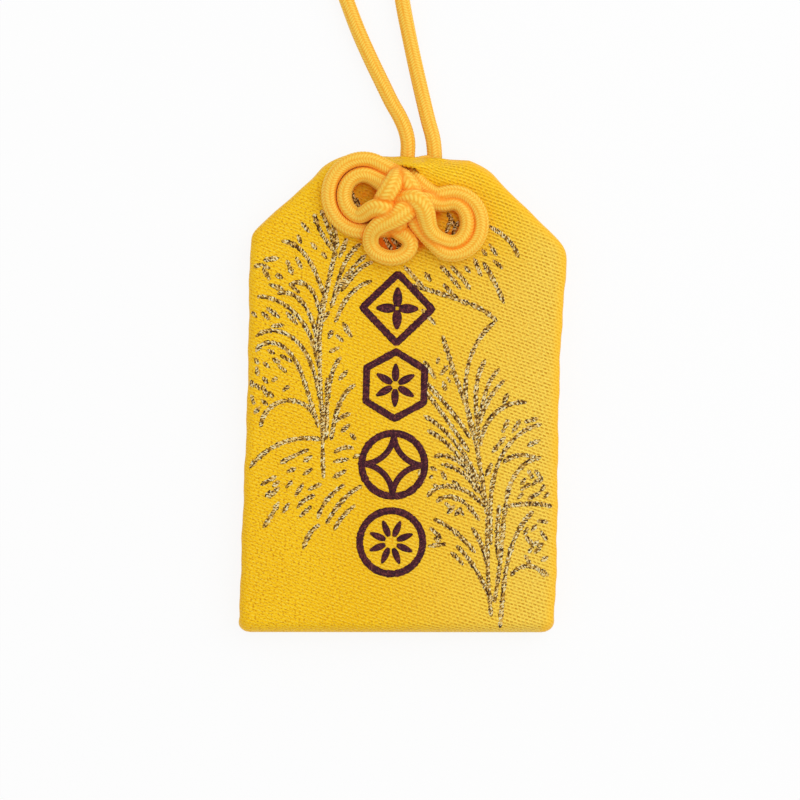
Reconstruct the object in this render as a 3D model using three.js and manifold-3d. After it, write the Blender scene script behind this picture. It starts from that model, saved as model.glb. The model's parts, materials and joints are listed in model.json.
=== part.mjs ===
// Omamori charm: a small brocade pouch lying on its back, tied shut by a cord with a double kano knot.
// Millimetres, +Z up. X runs across the pouch, Y towards the hanging loop, and the back rests on z = 0.
import * as THREE from 'three';
import { mergeVertices } from 'three/addons/utils/BufferGeometryUtils.js';
import Module from 'manifold-3d';

const wasm = await Module();
wasm.setup();

// Outline of the pouch
const pouchWidth = 45;
const pouchHeight = 68;
const mouthWidth = 20.8;
const shoulderDrop = 11.6;
const footRadius = 1.5;
const shoulderRadius = 2.2;
const mouthRadius = 1.8;

// Cloth and what lies inside it
const clothThickness = 0.5;
const liningThickness = 0.25;
const cardThickness = 0.5;
const paperThickness = 0.15;
const slipThickness = 1;
const slipWidth = 24;
const slipInset = 2;
const clearance = 0.3;
const packetTravel = 2;
const threadRadius = 0.2;
const threadEndGap = 3;

// Roll of the edges and swell of the front
const seamHeight = 1.7;
const innerRoll = 0.6;
const backRoll = 0.9;
const crownRise = 0.35;
const crownRun = 7;

// Cord
const cordDiameter = 2.2;
const knotDiameter = 1.6;
const levelGap = 0.5;
const strandPitch = 2.15;
const leftExit = -0.1;
const rightExit = 3.8;
const bandWidth = 1.3;
const eyeLength = 4.4;
const eyeOffset = 0.4;
const eyeEase = 0.9;

// Knot, in its own plane: u towards the right ear, v towards the mouth
const knotBelowMouth = 8.05;
const knotOffset = 0.07;
const knotTilt = THREE.MathUtils.degToRad(-15.5);
const earSpread = 6.4;
const leftEarRadius = 5.1;
const rightEarRadius = 4.3;
const dropRadius = 1.95;
const dropCentre = [-0.3, -4.9];
const dropLift = 0.6;

// Fineness of the surfaces
const cornerSteps = 3;
const rollSteps = 4;
const crownSteps = 2;
const cordSides = 8;
const loopSteps = 28;
const knotSteps = 165;
const knotLoopPoints = 13;
const knotSamples = 700;

// Sizes that follow from the ones above
const halfWidth = pouchWidth / 2;
const mouthY = pouchHeight / 2;
const footY = -mouthY;
const knotRadius = knotDiameter / 2;
const liningTop = clothThickness + liningThickness;
const cardTop = liningTop + cardThickness;
const wrapperHeight = slipThickness + 2 * (paperThickness + clearance);
const wrapperTop = cardTop + wrapperHeight;
const wrapperWidth = slipWidth + 2 * (paperThickness + clearance);
const liningOffset = clothThickness + clearance;
const frontTop = wrapperTop + clearance + liningThickness + liningOffset;
const frontRun = innerRoll + liningThickness + liningOffset;
const backRun = backRoll + clothThickness;
const leadHeight = liningTop + clearance + knotRadius;
const eyeTop = mouthY - bandWidth;
const eyeHalfWidth = strandPitch / 2 + knotRadius + eyeEase;
const packetFoot = footY + Math.max(frontRun, backRun) + clearance;
const knotFloor = frontTop + crownRise + clearance + knotRadius;
const cardReach = eyeTop - eyeLength - clearance;
const tuckTip = mirroredCorner();
const wrapperLength = tuckTip.y - clearance - packetTravel - packetFoot;
const slipLength = wrapperLength - 2 * slipInset;

const brocade = new THREE.MeshStandardMaterial({ color: 0xeebb2a, roughness: 0.55, metalness: 0 });
const cordSilk = new THREE.MeshStandardMaterial({ color: 0xf6b43c, roughness: 0.6, metalness: 0 });
const interlining = new THREE.MeshStandardMaterial({ color: 0xf1ead8, roughness: 0.9, metalness: 0 });
const board = new THREE.MeshStandardMaterial({ color: 0xd9cfb8, roughness: 0.85, metalness: 0 });
const whitePaper = new THREE.MeshStandardMaterial({ color: 0xf5f2ea, roughness: 0.8, metalness: 0 });
const cedar = new THREE.MeshStandardMaterial({ color: 0xd8b07c, roughness: 0.7, metalness: 0 });
const thread = new THREE.MeshStandardMaterial({ color: 0xd9a520, roughness: 0.7, metalness: 0 });

const charm = new THREE.Group();

function addPiece(name, geometry, material) {
  const mesh = new THREE.Mesh(geometry, material);
  mesh.name = name;
  charm.add(mesh);
}

// Corners of the pouch, anticlockwise from the lower left, each with its rounding.
function pouchCorners() {
  const shoulderY = mouthY - shoulderDrop;
  const mouthX = mouthWidth / 2;
  return [
    { x: -halfWidth, y: footY, r: footRadius },
    { x: halfWidth, y: footY, r: footRadius },
    { x: halfWidth, y: shoulderY, r: shoulderRadius },
    { x: mouthX, y: mouthY, r: mouthRadius },
    { x: -mouthX, y: mouthY, r: mouthRadius },
    { x: -halfWidth, y: shoulderY, r: shoulderRadius },
  ];
}

function unit(from, to) {
  return new THREE.Vector2(to.x - from.x, to.y - from.y).normalize();
}

// Corner moved inwards so that both its edges stand the inset away from the outline.
function insetCorner(before, corner, after, inset) {
  const arriving = unit(before, corner);
  const leaving = unit(corner, after);
  const bisector = new THREE.Vector2(leaving.x - arriving.x, leaving.y - arriving.y).normalize();
  const halfAngle = Math.acos(THREE.MathUtils.clamp(-arriving.dot(leaving), -1, 1)) / 2;
  const shift = inset / Math.sin(halfAngle);
  const point = new THREE.Vector2(corner.x, corner.y).addScaledVector(bisector, shift);
  return { point, bisector, halfAngle, turn: Math.PI - 2 * halfAngle };
}

// Outline of the pouch drawn in by an inset, with every corner as an arc of the same count of points.
function outlineRing(inset) {
  const corners = pouchCorners();
  return corners.flatMap((corner, i) => {
    const before = corners[(i + corners.length - 1) % corners.length];
    const after = corners[(i + 1) % corners.length];
    const { point, bisector, halfAngle, turn } = insetCorner(before, corner, after, inset);
    const radius = Math.max(corner.r - inset, corner.r / 4);
    const centre = point.clone().addScaledVector(bisector, radius / Math.sin(halfAngle));
    const start = Math.atan2(-bisector.y, -bisector.x) - turn / 2;
    return Array.from({ length: cornerSteps + 1 }, (_, k) => {
      const angle = start + (turn * k) / cornerSteps;
      return new THREE.Vector2(centre.x + radius * Math.cos(angle), centre.y + radius * Math.sin(angle));
    });
  });
}

// Closed skin over a stack of rings, with a fan over the first and the last ring.
function skinRings(rings) {
  const count = rings[0].length;
  const positions = rings.flat().flatMap((p) => [p.x, p.y, p.z]);
  const indices = [];
  for (let i = 0; i + 1 < rings.length; i += 1) {
    for (let k = 0; k < count; k += 1) {
      const a = i * count + k;
      const b = i * count + ((k + 1) % count);
      indices.push(a, b, b + count, a, b + count, a + count);
    }
  }
  const last = (rings.length - 1) * count;
  for (let k = 1; k + 1 < count; k += 1) {
    indices.push(0, k + 1, k, last, last + k, last + k + 1);
  }
  const geometry = new THREE.BufferGeometry();
  geometry.setAttribute('position', new THREE.Float32BufferAttribute(positions, 3));
  geometry.setIndex(indices);
  return geometry;
}

function ringAt(inset, z) {
  return outlineRing(inset).map((p) => new THREE.Vector3(p.x, p.y, z));
}

// Profile of the front from its crown out to the seam, offset inwards: a flat swell, then a quarter roll.
function frontProfile(offset) {
  const run = frontRun - offset;
  const rise = frontTop - seamHeight - offset;
  const crown = Array.from({ length: crownSteps }, (_, k) => {
    const share = 1 - k / crownSteps;
    const lift = crownRise * Math.sin((share * Math.PI) / 2);
    return ringAt(frontRun + crownRun * share, seamHeight + rise + lift);
  });
  const roll = Array.from({ length: rollSteps + 1 }, (_, k) => {
    const angle = (Math.PI / 2) * (1 - k / rollSteps);
    return ringAt(frontRun - run * Math.cos(angle), seamHeight + rise * Math.sin(angle));
  });
  return [...crown, ...roll];
}

// Profile of the back from its flat floor out to the seam, offset inwards.
function backProfile(offset) {
  const run = backRun - offset;
  const drop = seamHeight - offset;
  return Array.from({ length: rollSteps + 1 }, (_, k) => {
    const angle = (Math.PI / 2) * (1 - k / rollSteps);
    return ringAt(backRun - run * Math.cos(angle), seamHeight - drop * Math.sin(angle));
  });
}

// Dish of even thickness between two offsets of one profile.
function dish(profile, outer, inner) {
  return skinRings([...profile(outer), ...profile(inner).reverse()]);
}

function toSolid(geometry) {
  const bare = geometry.clone();
  bare.deleteAttribute('normal');
  bare.deleteAttribute('uv');
  const merged = mergeVertices(bare, 1e-4);
  const mesh = new wasm.Mesh({
    numProp: 3,
    vertProperties: new Float32Array(merged.attributes.position.array),
    triVerts: new Uint32Array(merged.index.array),
  });
  return new wasm.Manifold(mesh);
}

function toGeometry(solid) {
  const mesh = solid.getMesh();
  const geometry = new THREE.BufferGeometry();
  geometry.setAttribute('position', new THREE.Float32BufferAttribute(mesh.vertProperties, 3));
  geometry.setIndex(new THREE.Uint32BufferAttribute(mesh.triVerts, 1));
  return geometry;
}

// Faces turned outwards, judged by the sign of the volume.
function outward(geometry) {
  const p = geometry.attributes.position;
  const index = geometry.index.array;
  const corner = (i) => new THREE.Vector3().fromBufferAttribute(p, index[i]);
  let volume = 0;
  for (let i = 0; i < index.length; i += 3) {
    volume += corner(i).dot(corner(i + 1).cross(corner(i + 2)));
  }
  if (volume > 0) return geometry;
  for (let i = 0; i < index.length; i += 3) {
    [index[i], index[i + 1]] = [index[i + 1], index[i]];
  }
  return geometry;
}

// Way of the two strands: a slot through the mouth, then an eye up through the front.
function boxBetween(low, high) {
  const size = new THREE.Vector3().subVectors(high, low);
  const middle = new THREE.Vector3().addVectors(low, high).multiplyScalar(0.5);
  return new THREE.BoxGeometry(size.x, size.y, size.z).translate(middle.x, middle.y, middle.z);
}

function mouthSlot() {
  const side = knotRadius + clearance;
  const low = new THREE.Vector3(leftExit - side, eyeTop - eyeLength, leadHeight - side);
  const high = new THREE.Vector3(rightExit + side, mouthY + clearance, leadHeight + side);
  return toSolid(boxBetween(low, high));
}

function frontEye() {
  const low = new THREE.Vector3(eyeOffset - eyeHalfWidth, eyeTop - eyeLength, leadHeight);
  const high = new THREE.Vector3(eyeOffset + eyeHalfWidth, eyeTop, knotFloor);
  return toSolid(boxBetween(low, high));
}

function buildCloth() {
  const cordWay = mouthSlot().add(frontEye());
  const front = outward(dish(frontProfile, 0, clothThickness));
  const frontBacking = outward(dish(frontProfile, liningOffset, liningOffset + liningThickness));
  const back = outward(dish(backProfile, 0, clothThickness));
  addPiece('front_cloth', toGeometry(toSolid(front).subtract(cordWay)), brocade);
  addPiece('front_lining', toGeometry(toSolid(frontBacking).subtract(cordWay)), interlining);
  addPiece('back_cloth', toGeometry(toSolid(back).subtract(cordWay)), brocade);
}

// Part of a convex outline on the inner side of the line through two points.
function clipOutline(points, from, to) {
  const side = (p) => (to.x - from.x) * (p.y - from.y) - (to.y - from.y) * (p.x - from.x);
  return points.flatMap((p, i) => {
    const q = points[(i + 1) % points.length];
    const a = side(p);
    const b = side(q);
    const kept = a >= 0 ? [p] : [];
    return a * b < 0 ? [...kept, p.clone().lerp(q, a / (a - b))] : kept;
  });
}

function plate(points, bottom, thickness) {
  const geometry = new THREE.ExtrudeGeometry(new THREE.Shape(points), {
    depth: thickness,
    bevelEnabled: false,
  });
  return geometry.translate(0, 0, bottom);
}

function buildFlatSheets() {
  const liningOutline = outlineRing(backRun + clearance);
  const right = new THREE.Vector2(halfWidth, cardReach);
  const left = new THREE.Vector2(-halfWidth, cardReach);
  const cardOutline = clipOutline(outlineRing(backRun + 2 * clearance), right, left);
  addPiece('back_lining', plate(liningOutline, clothThickness, liningThickness), interlining);
  addPiece('stiffener_card', plate(cardOutline, liningTop, cardThickness), board);
}

// Where the cut-off corner of the strip lands when it is folded in along the right shoulder line.
function mirroredCorner() {
  const low = new THREE.Vector2(halfWidth, mouthY - shoulderDrop);
  const high = new THREE.Vector2(mouthWidth / 2, mouthY);
  const corner = new THREE.Vector2(halfWidth, mouthY);
  const along = high.sub(low).normalize();
  const foot = low.clone().addScaledVector(along, corner.clone().sub(low).dot(along));
  return foot.multiplyScalar(2).sub(corner);
}

// Corner of the cloth turned in along the shoulder line, trimmed to the inside of the pouch.
function shoulderTuck(side) {
  const low = new THREE.Vector2(side * halfWidth, mouthY - shoulderDrop);
  const high = new THREE.Vector2((side * mouthWidth) / 2, mouthY);
  const tip = new THREE.Vector2(side * tuckTip.x, tuckTip.y);
  const outline = outlineRing(frontRun + clearance);
  const chain = side > 0 ? [high, tip, low] : [low, tip, high];
  const upper = clipOutline(outline, chain[0], chain[1]);
  return plate(clipOutline(upper, chain[1], chain[2]), cardTop, clothThickness);
}

function buildTucks() {
  addPiece('left_shoulder_tuck', shoulderTuck(-1), brocade);
  addPiece('right_shoulder_tuck', shoulderTuck(1), brocade);
}

// Straight run of sewing thread inside each side seam, just below the line where the halves meet.
function seamThread(side) {
  const bottom = footY + threadEndGap;
  const top = mouthY - shoulderDrop - threadEndGap;
  const x = side * (halfWidth - clothThickness - clearance - threadRadius);
  const z = seamHeight - clearance - threadRadius;
  const geometry = new THREE.CylinderGeometry(threadRadius, threadRadius, top - bottom, 6);
  return geometry.translate(x, (top + bottom) / 2, z);
}

function buildThreads() {
  addPiece('left_seam_thread', seamThread(-1), thread);
  addPiece('right_seam_thread', seamThread(1), thread);
}

function rectangle(width, height) {
  const x = width / 2;
  const y = height / 2;
  return [[-x, -y], [x, -y], [x, y], [-x, y]].map(([a, b]) => new THREE.Vector2(a, b));
}

// Paper folded round the slip as a flat sleeve, open at both ends.
function buildPacket() {
  const middle = packetFoot + wrapperLength / 2;
  const z = cardTop + wrapperHeight / 2;
  const sleeve = new THREE.Shape(rectangle(wrapperWidth, wrapperHeight));
  const inside = rectangle(wrapperWidth - 2 * paperThickness, wrapperHeight - 2 * paperThickness);
  sleeve.holes.push(new THREE.Path(inside));
  const paper = new THREE.ExtrudeGeometry(sleeve, { depth: wrapperLength, bevelEnabled: false });
  paper.translate(0, 0, -wrapperLength / 2).rotateX(Math.PI / 2).translate(0, middle, z);
  const slip = new THREE.BoxGeometry(slipWidth, slipLength, slipThickness).translate(0, middle, z);
  addPiece('paper_wrapper', paper, whitePaper);
  addPiece('talisman_slip', slip, cedar);
}

// Points of one loop of the knot, round a centre, with its height easing from one pass to the next.
function knotLoop(centre, radius, fromDegrees, toDegrees, fromLevel, toLevel, farLevel = 0) {
  return Array.from({ length: knotLoopPoints }, (_, k) => {
    const t = k / (knotLoopPoints - 1);
    const angle = THREE.MathUtils.degToRad(fromDegrees + (toDegrees - fromDegrees) * t);
    const start = (fromLevel - farLevel) * (1 - THREE.MathUtils.smoothstep(t, 0, 0.5));
    const end = (toLevel - farLevel) * THREE.MathUtils.smoothstep(t, 0.5, 1);
    const u = centre[0] + radius * Math.cos(angle);
    const v = centre[1] + radius * Math.sin(angle);
    return [u, v, farLevel + start + end];
  });
}

// Whole weave of the knot: six passes across the middle, joined by two loops in each ear and one below.
function knotWeave() {
  const leftEar = [-earSpread, 0];
  const rightEar = [earSpread, 0];
  const leftInner = leftEarRadius - strandPitch;
  const rightInner = rightEarRadius - strandPitch;
  return [
    [-1.9, 2.6, 0], [-2.3, 0.3, 0], [-2.6, -1.9, 0],
    ...knotLoop(leftEar, leftEarRadius, 310, 50, 0, 0.8),
    [-1.9, 2.6, 1.08], [0, 1.2, 1], [2.3, 0.3, 1],
    ...knotLoop(rightEar, rightInner, 205, 515, 1, 2),
    [2.6, -1.9, 2], [0.2, -3, 2],
    ...knotLoop(dropCentre, dropRadius, 130, 410, 1.95, 1, dropLift),
    [-0.1, -3, 1], [-2.4, -1.7, 1],
    ...knotLoop(leftEar, leftInner, 25, 335, 1, 2),
    [-2, 0.5, 2.1], [0, 1.2, 2], [1.9, 2.6, 1.8],
    ...knotLoop(rightEar, rightEarRadius, 130, -130, 1.5, 0),
    [2.6, -1.9, 0], [2.3, 0.3, 0], [1.9, 2.6, 0],
  ];
}

// Place of a point of the knot on the front of the pouch.
function onFront([u, v, level]) {
  const x = knotOffset + u * Math.cos(knotTilt) - v * Math.sin(knotTilt);
  const y = mouthY - knotBelowMouth + u * Math.sin(knotTilt) + v * Math.cos(knotTilt);
  return new THREE.Vector3(x, y, knotFloor + level * (knotDiameter + levelGap));
}

// Lead of one strand, from the mouth under the band and up through the eye.
function lead(exitX, eyeX) {
  const between = (share) => THREE.MathUtils.lerp(exitX, eyeX, share);
  return [
    new THREE.Vector3(exitX, mouthY, leadHeight),
    new THREE.Vector3(between(0.1), mouthY - 0.7 * bandWidth, leadHeight),
    new THREE.Vector3(between(0.5), eyeTop - 0.1 * eyeLength, leadHeight + 0.3 * knotRadius),
    new THREE.Vector3(between(1), eyeTop - 0.45 * eyeLength, (leadHeight + knotFloor) / 2),
  ];
}

// Tube with a regular section along a smooth curve, closed at both ends.
function tube(curve, diameter, steps) {
  const section = Array.from({ length: cordSides }, (_, k) => {
    const angle = (2 * Math.PI * k) / cordSides;
    return new THREE.Vector2((diameter / 2) * Math.cos(angle), (diameter / 2) * Math.sin(angle));
  });
  return new THREE.ExtrudeGeometry(new THREE.Shape(section), { steps, extrudePath: curve });
}

// Least gap between stretches of a tube that are further apart along it than a few diameters.
function leastSelfGap(curve, diameter) {
  const points = curve.getSpacedPoints(knotSamples);
  const apart = Math.ceil((3 * diameter * knotSamples) / curve.getLength());
  let least = Infinity;
  for (let i = 0; i < points.length; i += 1) {
    for (let j = i + apart; j < points.length; j += 1) {
      least = Math.min(least, points[i].distanceTo(points[j]));
    }
  }
  return least - diameter;
}

function buildKnot() {
  const left = lead(leftExit, eyeOffset - strandPitch / 2);
  const right = lead(rightExit, eyeOffset + strandPitch / 2).reverse();
  const points = [...left, ...knotWeave().map(onFront), ...right];
  const curve = new THREE.CatmullRomCurve3(points, false, 'centripetal');
  console.log('knot: least gap to itself', leastSelfGap(curve, knotDiameter).toFixed(2), 'mm');
  addPiece('knot_cord', tube(curve, knotDiameter, knotSteps), cordSilk);
}

// Route of the hanging loop over the table: out of the mouth, round the bight and back.
const loopRoute = [
  [-0.1, 34.3, 1.85], [-0.1, 36.2, 1.8], [-0.5, 38, 1.6], [-1.3, 39.8, 1.4], [-2.6, 42, 1.25],
  [-3.9, 44.5, 1.2], [-5.7, 48, 1.2], [-7.7, 52.2, 1.2], [-9.5, 56.6, 1.2], [-11.4, 61.2, 1.2],
  [-13.4, 66, 1.2], [-15.1, 71, 1.2], [-16.2, 76, 1.2], [-16.4, 81, 1.2], [-15, 85.6, 1.2],
  [-11.7, 88.4, 1.2], [-7.8, 88.2, 1.2], [-4.9, 85.2, 1.2], [-3.7, 80.5, 1.2], [-3.4, 75, 1.2],
  [-3.2, 69, 1.2], [-2.5, 63, 1.2], [-1.5, 57, 1.2], [-0.4, 51.9, 1.2], [0.7, 47.3, 1.2],
  [1.8, 43, 1.25], [2.7, 39.6, 1.45], [3.5, 36.8, 1.75], [3.8, 34.3, 1.85],
];

function buildLoop() {
  const points = loopRoute.map(([x, y, z]) => new THREE.Vector3(x, y, z));
  const curve = new THREE.CatmullRomCurve3(points, false, 'centripetal');
  console.log('hanging loop: length', curve.getLength().toFixed(1), 'mm');
  addPiece('hanging_loop', tube(curve, cordDiameter, loopSteps), cordSilk);
}

buildCloth();
buildFlatSheets();
buildTucks();
buildThreads();
buildPacket();
buildKnot();
buildLoop();

export default charm;
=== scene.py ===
"""Looks of a flat brocade charm pouch with a cord knot on its front and a hanging loop of the same cord.

All shapes are worked out in millimetres in the part's own frame: +X across the pouch, +Y from its foot
to its mouth, +Z out of its front. They become metres when they are put into a mesh.
"""

import json
import math

import bpy
import numpy as np
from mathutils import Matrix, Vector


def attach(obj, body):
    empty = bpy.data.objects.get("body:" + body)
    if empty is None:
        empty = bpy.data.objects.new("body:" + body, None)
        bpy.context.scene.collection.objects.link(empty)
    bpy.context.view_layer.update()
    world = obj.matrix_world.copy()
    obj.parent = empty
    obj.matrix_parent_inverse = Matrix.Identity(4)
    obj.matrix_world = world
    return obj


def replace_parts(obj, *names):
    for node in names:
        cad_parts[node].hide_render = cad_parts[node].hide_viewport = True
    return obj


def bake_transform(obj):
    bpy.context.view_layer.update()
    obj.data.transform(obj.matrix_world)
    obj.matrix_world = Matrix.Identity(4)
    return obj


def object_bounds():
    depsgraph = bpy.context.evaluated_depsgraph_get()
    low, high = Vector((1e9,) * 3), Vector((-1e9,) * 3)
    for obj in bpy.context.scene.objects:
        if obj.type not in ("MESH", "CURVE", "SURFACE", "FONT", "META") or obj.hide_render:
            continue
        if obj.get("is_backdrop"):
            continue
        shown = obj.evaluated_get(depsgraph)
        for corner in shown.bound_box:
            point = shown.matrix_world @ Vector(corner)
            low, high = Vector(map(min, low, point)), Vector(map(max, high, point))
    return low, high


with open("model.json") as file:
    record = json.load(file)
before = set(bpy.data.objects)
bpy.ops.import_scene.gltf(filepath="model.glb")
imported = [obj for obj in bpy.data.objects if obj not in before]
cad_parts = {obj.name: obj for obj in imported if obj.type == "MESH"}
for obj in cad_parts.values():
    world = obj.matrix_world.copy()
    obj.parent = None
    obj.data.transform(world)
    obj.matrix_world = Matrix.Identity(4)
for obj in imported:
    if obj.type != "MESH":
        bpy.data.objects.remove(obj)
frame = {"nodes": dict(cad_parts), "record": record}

cad_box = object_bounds()

MM = 0.001
TAU = 2 * math.pi

# Outline of the pouch
HALF_WIDTH = 22.9
FOOT_Y = -34.2
MOUTH_Y = 34.1
MOUTH_HALF = 10.2
SHOULDER_DROP = 11.9
FOOT_RADIUS = 2.0
SHOULDER_EASE = 1.0
MOUTH_EASE = 1.6
MOUTH_EASE_RUN = 2.5
SKEW = 0.0014
TWIST = 0.0007
WAIST = 0.3
WAIST_REACH = 16
FULLER_SIDE = 0.35
FULLER_FOOT_RUN = 6
FULLER_SHOULDER = 0.4
FULLER_SHOULDER_Y = 20
FULLER_SHOULDER_REACH = 7

# Heights of the cloth and how far its edges roll
SEAM_Z = 1.7
FRONT_Z = 4.5
FRONT_RUN = 1.65
BACK_RUN = 1.4
CROWN_RISE = 0.35
CROWN_RUN = 7.0
CLOTH_THICKNESS = 0.45

# Cord
CORD_RADIUS = 1.1
CORD_EXITS = (-0.1, 3.8)
CORD_EXIT_Y = 34.3
CORD_BEND_END_Y = 41
LEAD_Z = 1.85
CORD_INSIDE = 1.1

# Knot
KNOT_CORD_RADIUS = 1.12
PRESSED_RADIUS = 1.75
KNOT_MIDDLE = (-0.6, 26.9)
PRESSED_REACH = 4.3
KNOT_FLOOR = 5.8
LEVEL_PITCH = 1.45
KNOT_SMOOTHING = 0.6
LEAD_WAY = ((0.0, 0.5, 0.0), (0.5, 0.9, 0.3))

# Eye in the front cloth, where the two strands come out
EYE_CENTRE = (-0.4, 31.3)
EYE_HALF = (2.1, 1.5)

# Camera over the lying charm
PHOTO_SIDE_MM = 114.6
CAMERA_HEIGHT = 700.0
CAMERA_CENTRE = (-0.27, -0.8)
CAMERA_TURN = math.radians(1.5)


# Shader writing

WHITE = (1.0, 1.0, 1.0, 1.0)


class Value:
    """One shader value. Arithmetic on it adds Math nodes to the tree that it belongs to."""

    def __init__(self, shading, socket):
        self.shading = shading
        self.socket = socket

    def _math(self, operation, *values):
        return self.shading.node("ShaderNodeMath", {"operation": operation}, list(values))

    def __add__(self, other):
        return self._math("ADD", self, other)

    def __radd__(self, other):
        return self._math("ADD", other, self)

    def __sub__(self, other):
        return self._math("SUBTRACT", self, other)

    def __rsub__(self, other):
        return self._math("SUBTRACT", other, self)

    def __mul__(self, other):
        return self._math("MULTIPLY", self, other)

    def __rmul__(self, other):
        return self._math("MULTIPLY", other, self)

    def __truediv__(self, other):
        return self._math("DIVIDE", self, other)

    def __rtruediv__(self, other):
        return self._math("DIVIDE", other, self)

    def floor(self):
        return self._math("FLOOR", self)

    def fract(self):
        return self._math("FRACT", self)

    def larger(self, other):
        return self._math("MAXIMUM", self, other)

    def step(self, low, high):
        """A smooth step from 0 at low to 1 at high."""
        settings = {"interpolation_type": "SMOOTHSTEP"}
        return self.shading.node("ShaderNodeMapRange", settings, [self, low, high, 0.0, 1.0])


class Shading:
    """A node tree and the one method that adds nodes to it."""

    def __init__(self, tree):
        self.tree = tree

    def node(self, kind, settings=None, inputs=(), output=0):
        """Adds a node: its settings first, then values or links of its sockets, by order or by name."""
        made = self.tree.nodes.new(kind)
        for key, value in (settings or {}).items():
            if key == "stops":
                self._stops(made.color_ramp, value)
            else:
                setattr(made, key, value)
        pairs = inputs.items() if isinstance(inputs, dict) else enumerate(inputs)
        for key, value in pairs:
            self.feed(made.inputs[key], value)
        return Value(self, made.outputs[output])

    def _stops(self, ramp, stops):
        while len(ramp.elements) < len(stops):
            ramp.elements.new(0.5)
        for element, (place, colour) in zip(ramp.elements, stops):
            element.position = place
            element.color = linear(colour)

    def feed(self, socket, value):
        if isinstance(value, Value):
            self.tree.links.new(value.socket, socket)
        elif value is not None:
            socket.default_value = value

    def show(self, output, share, shader, other):
        """Sends a mix of two shaders to the output node of that name."""
        mix = self.node("ShaderNodeMixShader", None, [share, shader, other])
        self.feed(self.tree.nodes[output].inputs["Surface"], mix)


class Finish(Shading):
    """A node-based material with one Principled shader."""

    def __init__(self, name):
        self.material = bpy.data.materials.new(name)
        self.material.use_nodes = True
        super().__init__(self.material.node_tree)
        self.surface = self.tree.nodes["Principled BSDF"]

    def set(self, **inputs):
        """Feeds the Principled shader, with underscores for the spaces in its sockets' names."""
        for key, value in inputs.items():
            self.feed(self.surface.inputs[key.replace("_", " ")], value)
        return self

    def object_place(self):
        """The x, y and z of the point on the object, in millimetres."""
        place = self.node("ShaderNodeTexCoord", output="Object")
        return self.split(place, 1 / MM)

    def cloth_place(self):
        """The two coordinates of the piece's own UV map, laid out in millimetres."""
        return self.split(self.node("ShaderNodeUVMap"), 1.0)

    def split(self, vector, scale):
        parts = [self.node("ShaderNodeSeparateXYZ", None, [vector], axis) for axis in range(3)]
        return [part * scale for part in parts] if scale != 1.0 else parts

    def join(self, x, y, z=0.0):
        return self.node("ShaderNodeCombineXYZ", None, [x, y, z])

    def mark(self, name):
        """A number that the piece's mesh keeps at each point."""
        return self.node("ShaderNodeAttribute", {"attribute_name": name}, output="Fac")

    def noise(self, place, scale, detail=2.0):
        return self.node("ShaderNodeTexNoise", None, {"Vector": place, "Scale": scale, "Detail": detail})

    def cell(self, x, y):
        """One random number from 0 to 1 for each whole pair of x and y."""
        place = self.join(x.floor(), y.floor())
        return self.node("ShaderNodeTexWhiteNoise", {"noise_dimensions": "2D"}, {"Vector": place})

    def ramp(self, value, stops):
        return self.node("ShaderNodeValToRGB", {"stops": stops}, [value])

    def blend(self, share, low, high):
        """A colour between two, each a value or sRGB numbers from 0 to 255."""
        low, high = (c if isinstance(c, Value) else linear(c) for c in (low, high))
        return self.node("ShaderNodeMix", {"data_type": "RGBA"}, {0: share, 6: low, 7: high}, 2)

    def bump(self, height, distance, strength=1.0):
        """A bump of a height from 0 to 1 that stands distance millimetres at most."""
        inputs = {"Strength": strength, "Distance": distance * MM, "Height": height}
        return self.node("ShaderNodeBump", None, inputs)


def linear(colour):
    """sRGB numbers from 0 to 255 as a linear colour with full alpha."""
    share = np.asarray(colour, float) / 255
    straight = np.where(share <= 0.04045, share / 12.92, ((share + 0.055) / 1.055) ** 2.4)
    return (*straight.tolist(), 1.0)


# Mesh writing

def put_mesh(name, points, faces, finish, uv=None, marks=None):
    """Makes a piece from points in millimetres, its faces, its UV map and its numbers at each point."""
    mesh = bpy.data.meshes.new(name)
    mesh.from_pydata((points * MM).tolist(), [], faces)
    mesh.polygons.foreach_set("use_smooth", np.ones(len(mesh.polygons), bool))
    if uv is not None:
        corner = np.empty(len(mesh.loops), np.int32)
        mesh.loops.foreach_get("vertex_index", corner)
        layer = mesh.uv_layers.new(name="cloth")
        layer.data.foreach_set("uv", uv[corner].astype(np.float32).ravel())
    for key, values in (marks or {}).items():
        mark = mesh.attributes.new(key, "FLOAT", "POINT")
        mark.data.foreach_set("value", values.astype(np.float32).ravel())
    mesh.materials.append(finish.material)
    piece = bpy.data.objects.new(name, mesh)
    bpy.context.scene.collection.objects.link(piece)
    return piece


def grid_faces(rows, columns, closed=False):
    """Quads of a grid, with the last column joined to the first where the grid is closed."""
    first = np.arange(rows - 1)[:, None] * columns
    left = np.arange(columns if closed else columns - 1)[None, :]
    right = (left + 1) % columns
    corners = [first + left, first + right, first + columns + right, first + columns + left]
    return np.stack(corners, -1).reshape(-1, 4)


def ease(share):
    """A smooth step from 0 to 1 while share goes from 0 to 1."""
    share = np.clip(share, 0, 1)
    return share * share * (3 - 2 * share)


def unit(vectors):
    return vectors / np.linalg.norm(vectors, axis=-1, keepdims=True)


def arc_length(line):
    steps = np.linalg.norm(np.diff(line, axis=0), axis=1)
    return np.concatenate([[0.0], np.cumsum(steps)])


def even_stations(line, step):
    """The line again, with its points the same distance apart."""
    along = arc_length(line)
    stations = np.linspace(0, along[-1], max(2, round(along[-1] / step) + 1))
    return np.stack([np.interp(stations, along, axis) for axis in line.T], 1)


SPAN_POINTS = 40


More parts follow.
